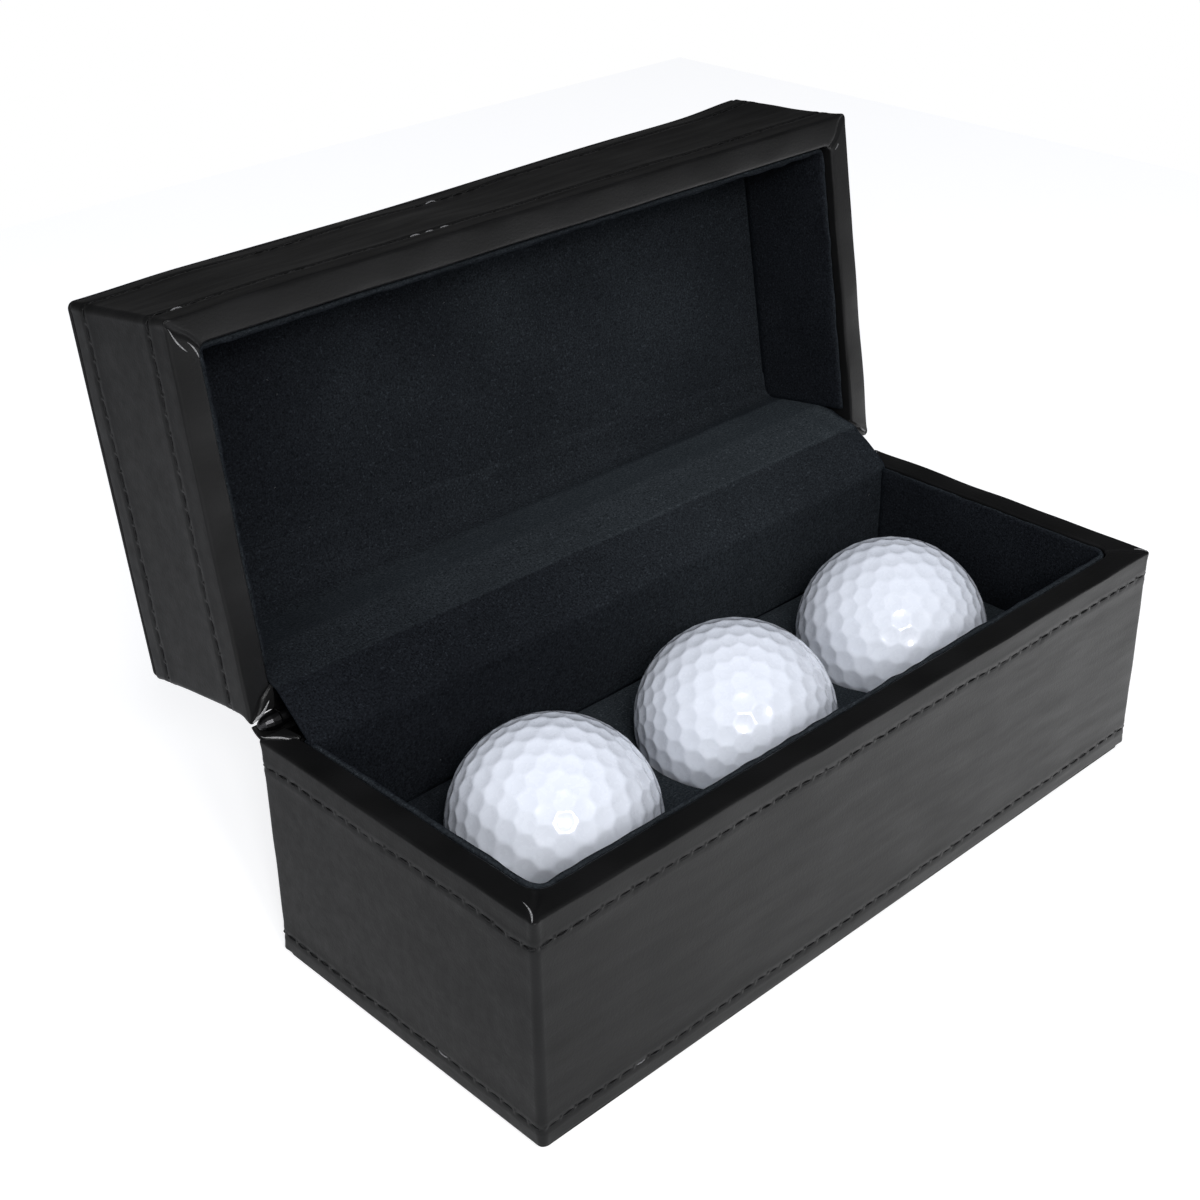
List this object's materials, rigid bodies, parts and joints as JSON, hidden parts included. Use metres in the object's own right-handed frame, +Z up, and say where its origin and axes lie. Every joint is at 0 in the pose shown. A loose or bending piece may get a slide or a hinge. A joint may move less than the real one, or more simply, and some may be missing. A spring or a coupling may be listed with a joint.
{
  "type": "golf ball gift box",
  "caption": "Leather-covered gift box with a velvet lining and a lid hinged along its back, standing open, holding golf balls in the wells of a padded tray.",
  "frame": {"origin": "middle of the base's underside, on the surface that the box stands on", "axes": "+X along the box's length, to the right seen from the front; -Y towards the front, so the hinge runs along the +Y side; +Z up"},
  "size_m": [0.182, 0.1252, 0.1301],
  "materials": {
    "leather": "satin",
    "velvet": "matte",
    "board": "matte",
    "foam": "matte",
    "sheet": "matte",
    "steel": "satin",
    "ball": "gloss"
  },
  "bodies": {
    "base": {"base_front_board": "board", "base_rear_board": "board", "base_left_board": "board", "base_right_board": "board", "base_bottom_board": "board", "base_front_liner": "velvet", "base_rear_liner": "velvet", "base_left_liner": "velvet", "base_right_liner": "velvet", "base_leather_wrap": "leather", "base_bottom_sheet": "sheet", "base_hinge_leaf": "steel", "base_leaf_tack_1": "steel", "base_leaf_tack_2": "steel", "base_leaf_tack_3": "steel", "hinge_pin": "steel", "hinge_lining": "velvet", "left_bow_spring": "steel", "right_bow_spring": "steel", "ball_tray_foam": "foam", "ball_tray_velvet": "velvet"},
    "lid": {"lid_front_board": "board", "lid_rear_board": "board", "lid_left_board": "board", "lid_right_board": "board", "lid_top_board": "board", "lid_front_liner": "velvet", "lid_rear_liner": "velvet", "lid_left_liner": "velvet", "lid_right_liner": "velvet", "lid_ceiling_liner": "velvet", "lid_leather_wrap": "leather", "lid_top_leather": "leather", "lid_hinge_leaf": "steel", "lid_leaf_tack_1": "steel", "lid_leaf_tack_2": "steel", "lid_leaf_tack_3": "steel"},
    "ball_1": {"golf_ball_1": "ball"},
    "ball_2": {"golf_ball_2": "ball"},
    "ball_3": {"golf_ball_3": "ball"}
  },
  "joints": [
    {"name": "lid_hinge", "type": "hinge", "parent": "base", "child": "lid", "pos_m": [0, 0.0407, 0.0519], "axis": [1, 0, 0], "range_deg": [0, 99], "deforming": ["hinge_lining", "left_bow_spring", "right_bow_spring"]},
    {"name": "ball_1_lift", "type": "slide", "parent": "base", "child": "ball_1", "axis": [0, 0, 1], "range_m": [0, 0.025]},
    {"name": "ball_2_lift", "type": "slide", "parent": "base", "child": "ball_2", "axis": [0, 0, 1], "range_m": [0, 0.025]},
    {"name": "ball_3_lift", "type": "slide", "parent": "base", "child": "ball_3", "axis": [0, 0, 1], "range_m": [0, 0.025]}
  ]
}
